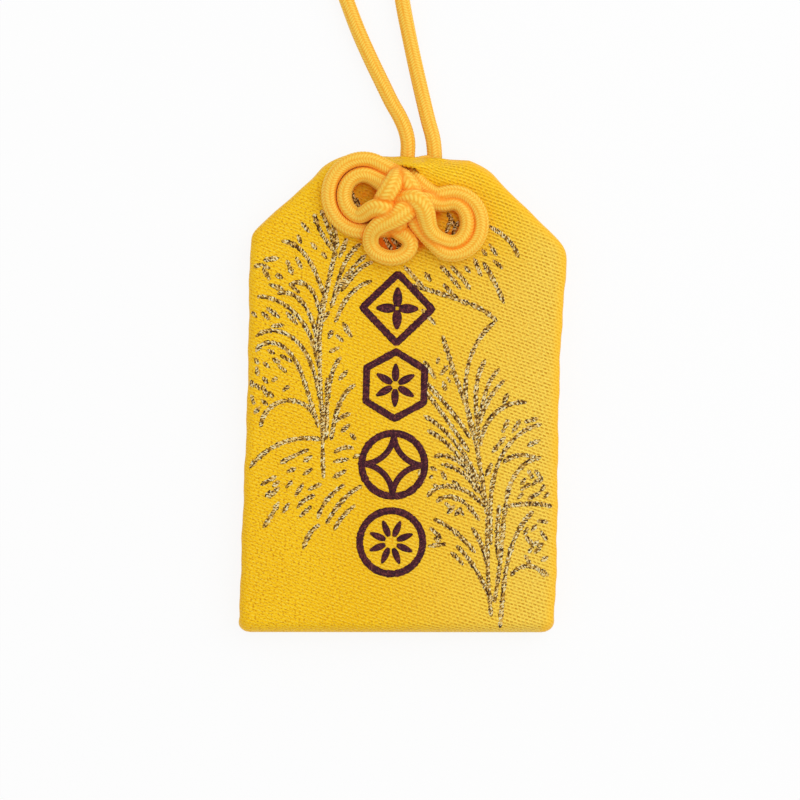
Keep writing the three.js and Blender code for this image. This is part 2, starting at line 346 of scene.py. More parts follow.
def smooth_line(points, step):
    """A centripetal Catmull-Rom curve: between two points it is the cubic whose end slopes come from the
    points beside them, each weighed by the square root of the gap to it."""
    points = np.asarray(points, float)
    ends = np.vstack([2 * points[0] - points[1], points, 2 * points[-1] - points[-2]])
    a, b, c, d = (ends[k:len(ends) - 3 + k] for k in range(4))
    gaps = (b - a, c - b, d - c)
    ab, bc, cd = (np.linalg.norm(gap, axis=1, keepdims=True) ** 0.5 for gap in gaps)
    leave = ((b - a) / ab - (c - a) / (ab + bc) + (c - b) / bc) * bc
    enter = ((c - b) / bc - (d - b) / (bc + cd) + (d - c) / cd) * bc
    t = np.linspace(0, 1, SPAN_POINTS, endpoint=False)[:, None, None]
    line = (2 * t**3 - 3 * t**2 + 1) * b + (t**3 - 2 * t**2 + t) * leave
    line = line + (3 * t**2 - 2 * t**3) * c + (t**3 - t**2) * enter
    line = np.vstack([line.transpose(1, 0, 2).reshape(-1, points.shape[1]), points[-1:]])
    return even_stations(line, step)


# Cord

CORD_SIDES = 36
CORD_STEP = 0.085
BRAID_COLUMNS = 4
BRAID_TWIST = 0.03
STITCH_PITCH = 0.41
STITCH_SLANT = 1.2
STITCH_DEPTH = 0.075
STITCH_FLATNESS = 0.6
COLUMN_FLATNESS = 0.35
# The crevice share below sets where the cord gets painted orange shade and bounce light.
CREVICE_GAP = 0.6
CREVICE_AWAY = 5.0
CREVICE_STRIDE = 6
CREVICE_BATCH = 100


def crevice(points, line, cord_radius):
    """How close each point of a cord's skin comes to another stretch of the same cord: 1 where it touches
    it and 0 from a gap of CREVICE_GAP on. Stretches nearer than CREVICE_AWAY along the cord don't count."""
    along = arc_length(line)
    some = slice(None, None, CREVICE_STRIDE)
    close = np.zeros(points.shape[:2])
    for first in range(0, len(line), CREVICE_BATCH):
        rows = slice(first, first + CREVICE_BATCH)
        reach = np.linalg.norm(points[rows, :, None] - line[some], axis=3)
        own = np.abs(along[rows, None] - along[some]) < CREVICE_AWAY
        nearest = np.where(own[:, None], np.inf, reach).min(2)
        close[rows] = 1 - ease((nearest - cord_radius[rows, None]) / CREVICE_GAP)
    return close


def braided_cord(name, line, cord_radius, finish):
    """A tube round the line with a braided skin; its radius is given for each point of the line. Four
    columns of V-shaped stitches wind slowly round it: the stitch number grows with the length along the
    cord and with the distance from the column's middle, and the radius sinks between two stitches and
    between two columns."""
    along = arc_length(line)[:, None]
    tangent = unit(np.gradient(line, axis=0))
    across = unit(np.cross([0.0, 0.0, 1.0], tangent))
    upward = np.cross(tangent, across)
    angle = np.arange(CORD_SIDES)[None, :] / CORD_SIDES * TAU
    column = ((angle + along * BRAID_TWIST) * BRAID_COLUMNS / TAU) % 1
    stitch = along / STITCH_PITCH + np.abs(2 * column - 1) * STITCH_SLANT
    ridge = np.sin(np.pi * (stitch % 1)) ** STITCH_FLATNESS
    ridge = ridge * np.sin(np.pi * ((2 * column) % 1)) ** COLUMN_FLATNESS
    radius = cord_radius[:, None] * (1 - STITCH_DEPTH * (1 - ridge))
    round_it = np.cos(angle)[..., None] * across[:, None] + np.sin(angle)[..., None] * upward[:, None]
    points = line[:, None] + radius[..., None] * round_it
    ring = list(range(CORD_SIDES))
    last = (len(line) - 1) * CORD_SIDES
    faces = grid_faces(len(line), CORD_SIDES, closed=True).tolist()
    faces += [ring[::-1], [last + k for k in ring]]
    uv = np.stack(np.broadcast_arrays(column, along), -1).reshape(-1, 2)
    # The crevice mark carries painted orange shade and bounce light where strands touch.
    marks = {"ridge": ridge, "deep": crevice(points, line, cord_radius)}
    return put_mesh(name, points.reshape(-1, 3), faces, finish, uv, marks)


# Middle line of the free loop
LOOP_ROUTE = [
    (-0.1, CORD_EXIT_Y, 1.85), (-0.1, 36.2, 1.8), (-0.5, 38, 1.6), (-1.3, 39.8, 1.4), (-2.6, 42, 1.25),
    (-3.9, 44.5, 1.2), (-5.7, 48, 1.2), (-7.7, 52.2, 1.2), (-9.5, 56.6, 1.2), (-11.4, 61.2, 1.2),
    (-13.4, 66, 1.2), (-15.1, 71, 1.2), (-16.2, 76, 1.2), (-16.4, 81, 1.2), (-15, 85.6, 1.2),
    (-11.7, 88.4, 1.2), (-7.8, 88.2, 1.2), (-4.9, 85.2, 1.2), (-3.7, 80.5, 1.2), (-3.4, 75, 1.2),
    (-3.2, 69, 1.2), (-2.5, 63, 1.2), (-1.5, 57, 1.2), (-0.4, 51.9, 1.2), (0.7, 47.3, 1.2),
    (1.8, 43, 1.25), (2.7, 39.6, 1.45), (3.5, 36.8, 1.75), (3.8, CORD_EXIT_Y, 1.85),
]


def hanging_line():
    """The free loop, with both ends carried on a little way inside the mouth."""
    start, end = ((x, CORD_EXIT_Y - CORD_INSIDE, LEAD_Z) for x in CORD_EXITS)
    return smooth_line([start, *LOOP_ROUTE, end], CORD_STEP)


# Way through the knot: x, y and level
KNOT_ROUTE = [
    (-1.13, 32.3, -1.6), (-1.26, 31.72, -0.4), (-1.6, 30.99, 1), (-2.14, 29.69, 2), (-2.89, 28.31, 1.9),
    (-3.57, 26.86, 1), (-3.24, 25.36, 0.4), (-2.07, 24.17, 0.1), (-0.68, 23.2, 0.2), (0.49, 22.23, 0.4),
    (0.67, 21.09, 0.4), (-0.17, 19.99, 0.4), (-1.8, 19.41, 0.4), (-3.53, 19.72, 0.4),
    (-4.84, 20.73, 0.5), (-5.12, 22.01, 0.8), (-4.69, 23.24, 1.4), (-3.64, 24.13, 1.9),
    (-2.37, 24.81, 2.1), (-1.1, 25.63, 2.2), (0.09, 26.52, 1.9), (1.36, 27.27, 1.2), (3, 27.74, 0.7),
    (5.29, 27.36, 0.2), (6.4, 27.73, 0.23), (7.52, 27.38, 0.25), (8.38, 26.37, 0.28),
    (8.76, 24.97, 0.3), (8.57, 23.51, 0.33), (7.86, 22.36, 0.35), (6.8, 21.8, 0.38), (5.65, 21.97, 0.4),
    (4.28, 22.55, 0.9), (3.25, 23.67, 1.4), (2.86, 25.09, 1.8), (2.53, 26.37, 2.2), (1.79, 27.35, 2.3),
    (0.7, 27.83, 2), (-0.58, 27.44, 1.4), (-1.59, 28.05, 1.1), (-2.71, 29.46, 0.7), (-4.56, 30.7, 0.2),
    (-5.69, 31.24, 0.23), (-6.93, 31.21, 0.25), (-8.03, 30.6, 0.28), (-8.78, 29.54, 0.3),
    (-9.04, 28.24, 0.33), (-8.76, 26.93, 0.35), (-7.99, 25.88, 0.38), (-6.88, 25.28, 0.4),
    (-5.76, 25.8, 1), (-4.7, 26.4, 1.7), (-3.49, 26.43, 2.1), (-2.4, 25.81, 1.9), (-1.51, 24.9, 1.1),
    (-1.06, 24.2, 0.3), (-1.91, 23.82, -0.1), (-3.49, 23.7, -0.2), (-5.34, 23.3, 0),
    (-7.48, 23.35, 0.1), (-9.23, 24.19, 0.1), (-10.54, 25.68, 0.1), (-11.2, 27.57, 0.1),
    (-11.12, 29.59, 0.1), (-10.31, 31.42, 0.1), (-8.89, 32.78, 0.1), (-7.08, 33.46, 0.1),
    (-5.15, 33.37, 0.1), (-3.41, 32.5, 0.1), (-1.6, 31.45, 0.2), (-0.2, 30.45, 1.3), (0.6, 28.9, 1.2),
    (0.95, 26.9, 0.6), (1.5, 24.9, 0.9), (2.47, 23.36, 0.8), (3.87, 21.82, 0.5), (5.62, 20.3, 0.3),
    (7.27, 20.27, 0.3), (8.81, 20.9, 0.3), (10, 22.11, 0.3), (10.65, 23.7, 0.3), (10.66, 25.44, 0.3),
    (10.03, 27.04, 0.3), (8.86, 28.28, 0.3), (7.33, 28.94, 0.3), (5.68, 28.94, 0.3), (4.27, 28.42, 0.3),
    (2.9, 29.03, 0), (1.72, 29.93, -0.2), (0.84, 30.99, -0.5), (0.24, 31.83, -1), (0.01, 32.47, -1.7),
]


def knot_line():
    """The way of the cord through the knot: the left lead comes over the middle's upper left and runs down
    under the middle to the foot loop, up across the middle to the right inner ear, back over the middle to
    the left inner ear, across and under to the left outer ear, over the top and down the middle to the
    right outer ear, and out by the right lead. Each point has its place in the knot's plane and its level.
    The whole line is then smoothed by a moving mean with bell-shaped weights."""
    route = np.array(KNOT_ROUTE)
    route[:, 2] = KNOT_FLOOR + route[:, 2] * LEVEL_PITCH
    leads = []
    for exit_x, eye_x in zip(CORD_EXITS, (route[0, 0], route[-1, 0])):
        inward = eye_x - exit_x
        way = [(exit_x + inward * share, MOUTH_Y - drop, LEAD_Z + rise) for share, drop, rise in LEAD_WAY]
        leads.append(way)
    line = smooth_line(np.vstack([leads[0], route, leads[1][::-1]]), CORD_STEP)
    reach = round(3 * KNOT_SMOOTHING / CORD_STEP)
    weights = np.exp(-0.5 * (np.arange(-reach, reach + 1) * CORD_STEP / KNOT_SMOOTHING) ** 2)
    padded = np.pad(line, ((reach, reach), (0, 0)), mode="edge")
    mean = [np.convolve(axis, weights / weights.sum(), mode="valid") for axis in padded.T]
    return even_stations(np.stack(mean, 1), CORD_STEP)


def knot_radius(line):
    """The tied cord's radius along its way: wider in the knot's middle, where it is pressed flat."""
    away = np.linalg.norm(line[:, :2] - KNOT_MIDDLE, axis=1)
    pressed = np.exp(-((away / PRESSED_REACH) ** 2))
    return KNOT_CORD_RADIUS + (PRESSED_RADIUS - KNOT_CORD_RADIUS) * pressed


# Pouch

POUCH_COLUMNS = 125
POUCH_ROWS = 160
SEAM_TUCK = 0.35
SEAM_TUCK_RUN = 0.3
TUCK_FROM_FOOT = (0.5, 2)
TUCK_FROM_MOUTH = (1.5, 2.5)
HEM_WAVE = 0.06
HEM_WAVE_RUN = 4
PUCKER = 0.05
PUCKER_REACH = 2.2
PUCKER_EDGE_RUN = 1.2
COVER_HALF = 0.9
COVER_RUN = 1.5
COVER_DEPTH = 6
COVER_DEPTH_RUN = 3
COVER_GAP = 0.1
BACK_LOW_EDGE = 0.25
LEAD_RIDGE = 0.6
LEAD_RIDGE_HALF = 1.3
LEAD_RIDGE_START = (29.5, 2.5)
LEAD_RIDGE_END = (0.4, 1.2)
LEAD_PULL_LEAST = 0.3
# Where the front cloth gets painted orange bounce light from the cord: how far and how much cord all round.
GLOW_REACH = 1.8
GLOW_LOW = 0.7
GLOW_HIGH = 2.0
GLOW_STRIDE = 8
GLOW_BATCH = 2000
EDGE_CROWDING = 0.75
SIDE_ROLL = 1.3
# How strongly the sides where the cloth rolls over take their colour, partly weft and partly painted light:
# more on the lit right.
RIGHT_ROLL_TONE = 0.9
LEFT_ROLL_TONE = 0.4
BULGE = 1.4
BULGE_EDGE_RUN = 1.5
BULGE_PLACE = (5.2, 31.1)
BULGE_SIZE = (3.6, 1.9)
LIP = 1.7
LIP_PLACE = (-0.2, 32.7)
LIP_SIZE = (2.6, 1.0)


def soft_min(a, b, ease_length):
    """The lesser of two lengths, rounded over ease_length where they cross."""
    return 0.5 * (a + b - np.sqrt((a - b) ** 2 + ease_length**2))


def round_min(a, b):
    """The lesser of two ways, rounded where they are alike, and 0 only where one of them is 0."""
    a, b = np.clip(a, 1e-6, None), np.clip(b, 1e-6, None)
    return a * b / (a**4 + b**4) ** 0.25


def half_width(y):
    """Half the pouch's width at a height: a side with a slight waist, a slanted shoulder above it with an
    eased corner, a quarter circle at the foot's corner and a small easing at the mouth's corner."""
    shoulder = MOUTH_HALF + (MOUTH_Y - y) * (HALF_WIDTH - MOUTH_HALF) / SHOULDER_DROP
    width = soft_min(HALF_WIDTH, shoulder, SHOULDER_EASE)
    below = np.clip(FOOT_Y + FOOT_RADIUS - y, 0, FOOT_RADIUS)
    width = width - FOOT_RADIUS + np.sqrt(FOOT_RADIUS**2 - below**2)
    width = width - WAIST * np.exp(-((y / WAIST_REACH) ** 2))
    return width - MOUTH_EASE * np.clip((y - MOUTH_Y) / MOUTH_EASE_RUN + 1, 0, 1) ** 3


def lean(x, y):
    """How far the real pouch's cloth sits higher on one side than a straight one: it grows with the way
    from the middle line, and changes sides from the foot to the shoulders."""
    return x * (SKEW - TWIST * y)


def fuller(x, y):
    """How far the cloth on the right stands further out than a straight pouch's: it grows from the middle
    line to the side and from the foot upwards, and is most near the shoulder's corner."""
    share = np.clip(x / HALF_WIDTH, 0, None) * ease((y - FOOT_Y) / FULLER_FOOT_RUN)
    at_shoulder = np.exp(-(((y - FULLER_SHOULDER_Y) / FULLER_SHOULDER_REACH) ** 2))
    return share * (FULLER_SIDE + FULLER_SHOULDER * at_shoulder)


def edge_distance(x, y):
    """How far a point lies inside the outline: the lesser of the way to the side, square to it, and the
    ways to the foot and to the mouth; in a rounded corner at the foot, the way out to its circle. Gives
    this and the way to the side alone."""
    little = 0.01
    slope = (half_width(y + little) - half_width(y - little)) / (2 * little)
    slope = np.where(y < FOOT_Y + FOOT_RADIUS, 0.0, slope)
    side = (half_width(y) - np.abs(x)) / np.sqrt(1 + slope**2)
    inside = round_min(round_min(side, y - FOOT_Y), MOUTH_Y - y)
    corner_y = FOOT_Y + FOOT_RADIUS
    past_x, past_y = np.abs(x) - half_width(corner_y) + FOOT_RADIUS, corner_y - y
    in_corner = (past_x > 0) & (past_y > 0)
    to_circle = FOOT_RADIUS - np.hypot(past_x, past_y)
    inside, side = (np.where(in_corner, to_circle, way) for way in (inside, side))
    return np.clip(inside, 0, None), np.clip(side, 0, None)


def quarter_roll(share):
    """A quarter circle: 0 at the edge, rising steeply, 1 and level at a share of 1."""
    return np.sqrt(np.clip(1 - (1 - np.clip(share, 0, 1)) ** 2, 0, 1))


def over_cords(x, y):
    """1 over the two strands where they pass the mouth, falling to 0 beside them and down the pouch."""
    away = np.minimum(*(np.abs(x - exit_x) for exit_x in CORD_EXITS))
    return (1 - ease((away - COVER_HALF) / COVER_RUN)) * ease((y - MOUTH_Y + COVER_DEPTH) / COVER_DEPTH_RUN)


def hill(x, y, centre, size):
    """A round hill of height 1."""
    return np.exp(-(((x - centre[0]) / size[0]) ** 2) - ((y - centre[1]) / size[1]) ** 2)


def front_height(x, y):
    """Height of the front cloth: a quarter roll up from the seam, a slight crown, puckers of unlike lengths
    that die away from the side seams, ridges over the two strands near the mouth, a lip lifted over them at
    the eye and a soft bulge beside it."""
    inside, side = edge_distance(x, y)
    height = SEAM_Z + (FRONT_Z - SEAM_Z) * quarter_roll(inside / FRONT_RUN)
    height = height + CROWN_RISE * quarter_roll(inside / CROWN_RUN)
    hand = np.sign(x)
    pucker = np.sin(y * 1.15 + 0.8 * np.sin(y * 0.37 + hand)) + 0.6 * np.sin(y * 2.1 + 1.3 * hand)
    height = height + PUCKER * pucker * np.exp(-side / PUCKER_REACH) * ease(inside / PUCKER_EDGE_RUN)
    low_edge = LEAD_Z + CORD_RADIUS + CLOTH_THICKNESS + COVER_GAP
    height = height + np.clip(low_edge - height, 0, None) * over_cords(x, y)
    near_mouth = ease((y - LEAD_RIDGE_START[0]) / LEAD_RIDGE_START[1])
    near_mouth = near_mouth * ease((MOUTH_Y + LEAD_RIDGE_END[0] - y) / LEAD_RIDGE_END[1])
    pull = np.clip((y - EYE_CENTRE[1]) / (MOUTH_Y - EYE_CENTRE[1]), LEAD_PULL_LEAST, 1)
    for exit_x in CORD_EXITS:
        middle = EYE_CENTRE[0] + (exit_x - EYE_CENTRE[0]) * pull
        height = height + LEAD_RIDGE * near_mouth * np.exp(-(((x - middle) / LEAD_RIDGE_HALF) ** 2))
    height = height + LIP * hill(x, y, LIP_PLACE, LIP_SIZE)
    return height + BULGE * hill(x, y, BULGE_PLACE, BULGE_SIZE) * ease(inside / BULGE_EDGE_RUN)


def back_height(x, y):
    """Height of the back cloth: a quarter roll down from the seam to the surface it lies on, and lower at
    the mouth under the two strands."""
    inside, _ = edge_distance(x, y)
    height = SEAM_Z * (1 - quarter_roll(inside / BACK_RUN))
    return height - np.clip(height - BACK_LOW_EDGE, 0, None) * over_cords(x, y)


def spread(count):
    """Numbers from -1 to 1, closer together towards both ends."""
    even = np.linspace(-1, 1, count)
    return (1 - EDGE_CROWDING) * even + EDGE_CROWDING * np.sin(even * math.pi / 2)


def between_strands(points, line):
    """How much cord lies on all sides of each point as seen from the front: the length of the line, each
    bit weighed by a bell curve of its distance, less the part of it that lies more to one side than to the
    other. Given as a share from 0 to 1."""
    around = np.zeros(len(points))
    for first in range(0, len(points), GLOW_BATCH):
        rows = slice(first, first + GLOW_BATCH)
        way = line[None, ::GLOW_STRIDE, :2] - points[rows, None, :2]
        reach = np.linalg.norm(way, axis=2)
        weight = np.exp(-((reach / GLOW_REACH) ** 2)) * GLOW_STRIDE * CORD_STEP
        one_sided = np.linalg.norm((way * (weight / (reach + 0.01))[..., None]).sum(1), axis=1)
        around[rows] = weight.sum(1) - one_sided
    return ease((around - GLOW_LOW) / (GLOW_HIGH - GLOW_LOW))


def pouch_strip(name, knot_way, finish):
    """One strip of cloth: down the front from the mouth, round the foot and up the back. Each row spans
    the pouch's width at its height; the height comes from the front or the back, and the two long edges
    turn in a little at the seam and wave a little. The UV map is the length along the cloth: across each
    row from its middle, and down each column from the front's middle row."""
    middle, reach = (MOUTH_Y + FOOT_Y) / 2, (MOUTH_Y - FOOT_Y) / 2
    down = middle - reach * spread(POUCH_ROWS)
    y = np.concatenate([down, down[-2::-1]])[:, None]
    wave = HEM_WAVE * (np.sin(y * 0.71 + 0.4) + 0.5 * np.sin(y * 1.9))
    x = -spread(POUCH_COLUMNS)[None, :] * half_width(y)
    y = np.broadcast_to(y, x.shape)
    on_front = np.arange(len(y))[:, None] < POUCH_ROWS
    height = np.where(on_front, front_height(x, y), back_height(x, y))
    _, side = edge_distance(x, y)
    from_foot, from_mouth = y - FOOT_Y, MOUTH_Y - y
    tuck = SEAM_TUCK * np.exp(-((side / SEAM_TUCK_RUN) ** 2))
    tuck = tuck * ease((from_foot - TUCK_FROM_FOOT[0]) / TUCK_FROM_FOOT[1])
    tuck = tuck * ease((from_mouth - TUCK_FROM_MOUTH[0]) / TUCK_FROM_MOUTH[1])
    wavy = wave * np.exp(-side / HEM_WAVE_RUN)
    wavy = wavy * ease(from_foot / HEM_WAVE_RUN) * ease(from_mouth / HEM_WAVE_RUN)
    points = np.stack([x - np.sign(x) * tuck + wavy, y, height], -1)
    rows_apart = np.diff(points[..., 1:], axis=0, prepend=points[:1, :, 1:])
    columns_apart = np.diff(points, axis=1, prepend=points[:, :1])
    along = np.cumsum(np.linalg.norm(rows_apart, axis=2), axis=0)
    along = along - along[POUCH_ROWS // 2]
    across = np.cumsum(np.linalg.norm(columns_apart, axis=2), axis=1)
    across = across - across[:, POUCH_COLUMNS // 2, None]
    uv = np.stack([-across, -along], -1)
    points, uv = points.reshape(-1, 3), uv.reshape(-1, 2)
    from_eye = (points[:, :2] - EYE_CENTRE) / EYE_HALF
    ring = np.linalg.norm(from_eye, axis=1)
    front_points = on_front.repeat(POUCH_COLUMNS, 1).ravel()
    in_eye = (ring < 1) & front_points
    points[in_eye, :2] = EYE_CENTRE + (from_eye / ring[:, None] * EYE_HALF)[in_eye]
    points[in_eye, 2] = front_height(points[in_eye, 0], points[in_eye, 1])
    faces = grid_faces(*x.shape)
    faces = faces[~in_eye[faces].all(1)]
    points[:, :2] += np.stack([fuller(*points.T[:2]), lean(*points.T[:2])], 1)
    open_way = knot_way[knot_way[:, 2] > KNOT_FLOOR - KNOT_CORD_RADIUS]
    # Mask of the painted orange bounce light on the cloth between the knot's strands.
    glow = between_strands(points, open_way) * front_points
    # Richer yellow where the cloth rolls over at the sides: partly the weft at the fold, partly painted
    # light, stronger on the lit right side.
    roll_weft_and_light = np.exp(-((side / SIDE_ROLL) ** 2)) * np.where(x > 0, RIGHT_ROLL_TONE, LEFT_ROLL_TONE)
    marks = {"side": roll_weft_and_light, "glow": glow}
    piece = put_mesh(name, points, faces.tolist(), finish, uv, marks)
    wall = piece.modifiers.new("wall", "SOLIDIFY")
    wall.thickness = CLOTH_THICKNESS * MM
    wall.offset = -1
    return piece


# Woven figures on the front

# Gold blades: start x and y, heading, length, turn over the length and how late the turn comes
GRASS_BLADES = [
    (-10.9, -12.3, 96, 10.5, -8, 0.7), (-10.7, -6.8, 90, 8.9, 1, 1.1), (-11.1, -6.8, 95, 15.1, -5, 2.2),
    (-12.1, 6.1, 91, 14.5, -14, 0.5), (-12.5, 6.1, 95, 9.5, -23, 0.6), (-11.9, -5.1, 94, 12.4, 173, 1),
    (-11.3, -6.8, 167, 11.8, 68, 0.9), (-12.2, -4, 108, 16.3, 148, 4), (-11.6, -1.4, 103, 16, 120, 2.4),
    (-12, 3.5, 102, 14.8, 80, 1.6), (-12.1, 6.8, 106, 10.6, 98, 2.8), (-12.1, 11.5, 105, 6.9, 119, 2.3),
    (-11.4, 13.7, 112, 10.7, 68, 2.8), (-10, 20, 131, 6.5, -27, 1.6), (-9.9, 20.5, 112, 6.1, 4, 2),
    (-9.7, 20.9, 97, 4.3, 13, 0.5), (-11.6, 10.1, 76, 1.8, -36, 0.9), (-10.5, 12.1, 78, 9.3, -36, 0.8),
    (-9.6, 10.7, 71, 7.6, -55, 1.4), (-10.2, 13.3, 78, 9.2, -41, 2.2), (-9.1, 14.5, 57, 6.4, -42, 2.3),
    (-9.5, 19.3, 70, 3.1, 0, 1), (-10.6, -1.1, 86, 6.6, -40, 2.4), (-10, -6.8, 82, 9, -50, 2.5),
    (-9.5, -4.2, 48, 2.6, -27, 0.6), (-9.5, -8.6, 38, 3, -68, 1.7), (-17.2, -10.3, 30, 4.6, -9, 2.1),
    (-14.6, -16.7, 63, 3.3, -49, 0.9), (-19.4, -19.6, 55, 4.4, 11, 1.1), (-11.6, -18.1, 78, 6.4, -47, 0.9),
    (-10.4, -18.8, 60, 7.6, -35, 1.9), (-9.2, -19.7, 73, 4.8, -34, 0.6), (-13.6, -22.5, 72, 4.4, -49, 2.1),
    (13.6, -31.5, 97, 15.6, -10, 1.4), (12.6, -16.9, 99, 17.7, 13, 2.2), (8.9, -0.6, 112, 9.8, -4, 0.9),
    (14, -29.4, 82, 12.5, 7, 1.1), (15.1, -17.3, 87, 11.1, -79, 1.9), (14.9, -33.1, 87, 17.9, -44, 2.8),
    (14.4, -23.3, 98, 7.9, -14, 0.8), (13.3, -21.2, 94, 20.6, -83, 2.2), (11.1, -7.4, 111, 19.6, -71, 1.6),
    (11.2, -6.2, 98, 11.8, -41, 2.6), (11.3, -3.9, 85, 8.6, -44, 2.3), (11.4, -3.1, 75, 6.5, -32, 1.1),
    (11.4, -7.1, 86, 10.2, -91, 1.2), (9.9, -6, 120, 10.4, 16, 0.6), (9.8, -8, 123, 10.8, 6, 0.5),
    (11.4, -12.2, 119, 12.6, 34, 1.7), (9.9, -10.6, 127, 8.4, 29, 1.7), (12.1, -14.5, 119, 10.2, 87, 2.6),
    (11.1, -13.7, 113, 6.9, 62, 1), (12.6, -15.9, 139, 10.1, 104, 2.1), (11.6, -17.8, 127, 7.9, 109, 2.3),
    (11.1, -22.4, 132, 7.8, 29, 1.7), (13.7, -29.4, 116, 9.7, 23, 1.9), (12.8, -24.2, 97, 6, 29, 0.8),
    (9.4, -24.2, 127, 2.6, 17, 0.9), (0.4, 15.7, -7, 9.3, -13, 0.5), (9.1, 13.4, -23, 5, -23, 1.7),
    (5, 18.6, -45, 4.5, -9, 1.8), (6.5, 18.6, -44, 4.4, -17, 1.9), (-0.2, 18.4, -45, 4.4, -5, 0.9),
    (5.5, 16, -53, 3, 16, 0.7), (14.7, -9.4, 47, 5.6, -78, 0.9), (15.3, -15.6, 9, 6.7, -28, 2.3),
    (16.2, -25.6, 60, 6.1, -127, 1.1), (11.7, 24.5, -29, 6.5, -48, 1.9), (11.1, 19.3, -58, 6.7, -10, 1.6),
]

# Short gold strokes: start x and y, heading, length
GRASS_DASHES = [
    (-15.1, 24.3, -49, 2), (-13.6, 21.4, -48, 1.3), (-12, 20.1, -53, 1.2), (-15.5, 22.5, -70, 1.4),
    (-15.7, 19.3, -62, 1.9), (-17, 18.8, -67, 2.3), (-20.4, 18.7, 9, 2.3), (-21.7, 17.7, 20, 1.4),
    (-20.4, 17.6, -58, 2), (-18.6, 16.6, -19, 1.2), (-19.5, 15.3, -19, 2.4), (-16.6, 15.5, -41, 2.1),
    (-19.7, 11.9, -36, 2.4), (-20.4, 11.3, -43, 1.6), (-16.9, 11.4, -46, 2.5), (-19, 9.3, 6, 1.9),
    (-21.8, 11.3, -49, 1.1), (-19.4, 5.9, -28, 1.2), (-17.6, 5.2, -29, 2), (-20, 4.1, -39, 1.3),
    (-17.9, 3.8, -40, 1.7), (-20.9, 3.5, -83, 1.4), (-18.7, 1.4, 35, 1), (-20.1, 0.8, -62, 1.9),
    (-17.1, 0.1, 37, 1.2), (-21.6, -0.6, -72, 1.5), (-21.1, -3.3, 51, 1.3), (-16.2, -11.5, 23, 1.5),
    (-13.9, -11.9, 36, 1.7), (-13.9, -10, 35, 1.6), (-19.9, -13.5, 31, 2.6), (-16.3, -13.8, 47, 1.4),
    (-14.9, -14.9, 58, 2.1), (-18.8, -15.3, 44, 2.3), (-13.1, -14, 26, 2.1), (-16.6, -17.4, 61, 1.7),
    (-14.2, -17.9, 44, 2.3), (-9.6, -12.2, 31, 2.3), (-9.6, -9.9, 12, 2.3), (-9.1, 1.8, 50, 1.9),
    (-8.6, 9.7, -55, 2.1), (-10.8, 7.7, 59, 1.4), (-9.7, 8.3, -40, 1.5), (-10.6, 5.8, 26, 1.7),
    (-8.6, -5.6, 43, 1.7), (-7.3, -5.7, -48, 1.3), (-6.8, -9.3, 31, 1.2), (11.9, 21.9, -55, 2.1),
    (12.5, 19.6, -40, 1.9), (9.8, 19.8, -67, 2.8), (8.5, 18.6, -48, 1.3), (10.9, 21.1, -53, 1.2),
    (2.8, 17.6, -55, 1.6), (2.5, 12.3, -47, 3), (4.9, 4.5, 76, 1), (5.4, 2.9, 53, 1.8),
    (5.8, 2.1, -72, 1.5), (3, 4.9, -55, 3.1), (14.5, -1, 67, 1.7), (14.5, -5.1, 67, 2.1),
    (15.9, -5.1, 60, 2.2), (17.6, -3.5, 17, 2.1), (13.1, -8, 52, 3), (18.1, -6.9, 26, 2.1),
    (12.3, -11.4, 67, 2.1), (17.3, -13.2, 32, 1.7), (18.4, -14.5, 30, 2.1), (19.3, -10.3, -52, 1.9),
    (19.8, -17.6, -4, 1.6), (18.2, -19.8, -50, 1.8), (20.3, -19, -54, 1.7), (19.5, -22.2, 42, 1.3),
    (20.5, -23.3, 31, 1.2), (20.4, -24.5, -36, 1.6), (18.2, -22.5, -59, 1.5), (4.5, -18.9, -43, 2.4),
    (4.3, -21.6, 8, 2.6), (2.7, -10.8, -66, 1.9), (4.2, -11.9, 38, 0.7), (5.9, -10.8, -59, 1.5),
    (4.8, -12.7, -37, 0.9), (6.9, -16.9, 50, 1.7), (8, -17.2, 54, 1.6), (4.3, -10.3, -22, 1.1),
    (18.3, -10.3, -59, 1.5), (16.9, -14.5, 46, 1.2), (7.5, -12.1, -40, 1.5),
    (5.7, 23.3, 71, 2.4), (6.6, 22.9, 70, 2.3), (5.8, 26.2, -59, 2.3), (-3.2, 22.5, -57, 2.2),
    (-2.2, 22.4, -44, 2.2), (-1.4, 20.4, 50, 1.7), (-8.2, 29.4, -74, 3.0), (-7.3, 28.0, -70, 1.8),
    (18.9, -12.6, 48, 1.4), (20.2, -13.4, 60, 1.2), (19, -19.1, 52, 1.3), (18, -19.7, 66, 1.3),
    (19.3, -21.2, 44, 1.2), (18.7, -22.2, 58, 1.2), (20.7, -14.3, 50, 1.1), (17.3, -12.5, 55, 1.3),
    (20, -12.2, 70, 1.1), (19.9, -21.3, 30, 1.1), (-18.7, 4.7, -30, 1.3), (-21.2, 4.7, -60, 1.1),
    (-20, 2, -52, 1.2), (-21.1, 1, -48, 1.2), (-20.2, -1.2, -40, 1.3), (-21.7, 1.5, -70, 1.1),
    (-19.1, -0.1, -50, 1.1), (-20.6, 18.1, -25, 1.4), (-18.4, 16.9, -40, 1.2), (-9.9, 10.1, 60, 1.1),
    (-8.8, 10.1, -50, 1.2), (-10.8, 7.8, 65, 1.3), (6.7, 3, 50, 1.2), (6.4, 2.7, -60, 1),
    (7.3, -14.1, -45, 1.4), (6.5, -15.3, -40, 1.2), (8.5, -16.1, -52, 1.3), (5.1, -20.4, -30, 1.1),
    (-18.2, -13.7, 40, 1.3), (-19.2, -15.2, 52, 1.2),
]

